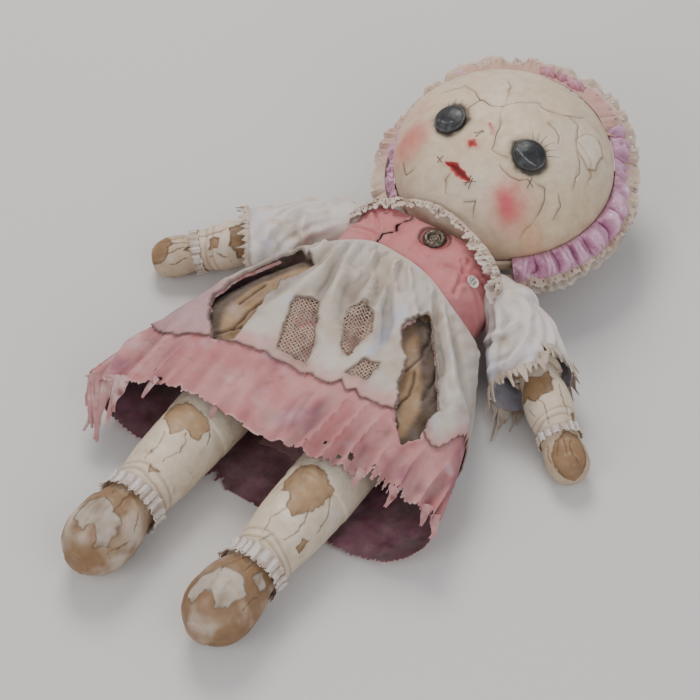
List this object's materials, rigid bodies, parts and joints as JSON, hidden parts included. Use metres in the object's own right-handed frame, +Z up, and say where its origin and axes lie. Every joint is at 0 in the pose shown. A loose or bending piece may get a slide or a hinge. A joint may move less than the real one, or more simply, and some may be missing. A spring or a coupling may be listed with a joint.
{
  "type": "ventriloquist dummy",
  "caption": "Worn rag-dressed ventriloquist's figure lying on its back: round button-eyed head on a stick, hollow torso, pinned arms and legs, gathered dress.",
  "frame": {"origin": "on the floor, under the middle of the box around the whole lying figure", "axes": "+Y from the feet to the top of the head, +X to the figure's left, +Z up out of its chest"},
  "size_m": [0.4236, 0.6127, 0.1408],
  "materials": {
    "board_wood": "bare sawn wood",
    "steel": "dull wire",
    "brass_ring": "dull",
    "grip_leather": "worn",
    "cracked_paint": "crazed matt paint over composition",
    "black_button": "matt, scratched",
    "cream_lace": "aged lace",
    "lilac_satin": "gathered satin ribbon",
    "pink_cloth": "dusty worn cotton",
    "dark_snap": "worn snap",
    "white_button": "satin",
    "cream_cloth": "stained gathered cotton",
    "white_cloth": "puffed cotton",
    "limb_paint": "worn crazed paint over wood",
    "worn_wood": "worn to bare wood"
  },
  "bodies": {
    "torso": {"chest_shell": "board_wood", "back_shell": "board_wood", "shoulder_board": "board_wood", "hip_board": "board_wood", "pelvis_block": "board_wood", "hip_axle": "steel", "board_screws": "steel", "bodice": "pink_cloth", "collar_lace": "cream_lace", "neck_snap": "dark_snap", "shirt_button": "white_button", "overskirt": "cream_cloth", "skirt": "pink_cloth"},
    "neck": {"neck_ring": "brass_ring", "neck_pin": "steel"},
    "head": {"head_stick": "board_wood", "stick_grip": "grip_leather", "neck_block": "board_wood", "face_shell": "cracked_paint", "skull_shell": "cracked_paint", "eye_left": "black_button", "eye_right": "black_button", "eye_washers": "steel", "bonnet_cap": "cream_lace", "bonnet_ribbon": "lilac_satin", "bonnet_lace": "cream_lace"},
    "shoulder_left": {"shoulder_link_left": "board_wood"},
    "arm_left": {"upper_arm_left": "limb_paint", "shoulder_pin_left": "steel", "sleeve_left": "white_cloth", "sleeve_lace_left": "cream_lace", "elbow_pin_left": "steel"},
    "forearm_left": {"forearm_left": "limb_paint", "wrist_band_left": "cream_lace", "hand_left": "worn_wood"},
    "leg_left": {"thigh_left": "worn_wood", "knee_pin_left": "steel"},
    "shin_left": {"shin_left": "limb_paint", "ankle_lace_left": "cream_lace", "foot_left": "worn_wood"},
    "shoulder_right": {"shoulder_link_right": "board_wood"},
    "arm_right": {"upper_arm_right": "limb_paint", "shoulder_pin_right": "steel", "sleeve_right": "white_cloth", "sleeve_lace_right": "cream_lace", "elbow_pin_right": "steel"},
    "forearm_right": {"forearm_right": "limb_paint", "wrist_band_right": "cream_lace", "hand_right": "worn_wood"},
    "leg_right": {"thigh_right": "worn_wood", "knee_pin_right": "steel"},
    "shin_right": {"shin_right": "limb_paint", "ankle_lace_right": "cream_lace", "foot_right": "worn_wood"}
  },
  "joints": [
    {"name": "head_turn", "type": "hinge", "parent": "torso", "child": "neck", "pos_m": [0, 0.09, 0.044], "axis": [0, 1, 0], "range_deg": [-40, 40]},
    {"name": "head_nod", "type": "hinge", "parent": "neck", "child": "head", "pos_m": [0, 0.09, 0.044], "axis": [1, 0, 0], "range_deg": [-12, 8]},
    {"name": "shoulder_swing_left", "type": "hinge", "parent": "torso", "child": "shoulder_left", "pos_m": [0.086, 0.089, 0.046], "axis": [-1, 0, 0], "range_deg": [0, 100]},
    {"name": "shoulder_spread_left", "type": "hinge", "parent": "shoulder_left", "child": "arm_left", "pos_m": [0.086, 0.089, 0.046], "axis": [0, 0, 1], "range_deg": [-10, 35]},
    {"name": "elbow_left", "type": "hinge", "parent": "arm_left", "child": "forearm_left", "pos_m": [0.13554, 0.04743, 0.03284], "axis": [-0.6428, -0.766, 0], "range_deg": [0, 35]},
    {"name": "hip_left", "type": "hinge", "parent": "torso", "child": "leg_left", "pos_m": [0.057, -0.019, 0.0335], "axis": [-1, 0, 0], "range_deg": [0, 45], "deforming": ["skirt", "overskirt"]},
    {"name": "knee_left", "type": "hinge", "parent": "leg_left", "child": "shin_left", "pos_m": [0.057, -0.14498, 0.03108], "axis": [1, 0, 0], "range_deg": [0, 55]},
    {"name": "shoulder_swing_right", "type": "hinge", "parent": "torso", "child": "shoulder_right", "pos_m": [-0.086, 0.089, 0.046], "axis": [-1, 0, 0], "range_deg": [0, 100]},
    {"name": "shoulder_spread_right", "type": "hinge", "parent": "shoulder_right", "child": "arm_right", "pos_m": [-0.086, 0.089, 0.046], "axis": [0, 0, -1], "range_deg": [-10, 35]},
    {"name": "elbow_right", "type": "hinge", "parent": "arm_right", "child": "forearm_right", "pos_m": [-0.13554, 0.04743, 0.03284], "axis": [-0.6428, 0.766, 0], "range_deg": [0, 35]},
    {"name": "hip_right", "type": "hinge", "parent": "torso", "child": "leg_right", "pos_m": [-0.057, -0.019, 0.0335], "axis": [-1, 0, 0], "range_deg": [0, 45], "deforming": ["skirt", "overskirt"]},
    {"name": "knee_right", "type": "hinge", "parent": "leg_right", "child": "shin_right", "pos_m": [-0.057, -0.14498, 0.03108], "axis": [1, 0, 0], "range_deg": [0, 55]}
  ]
}
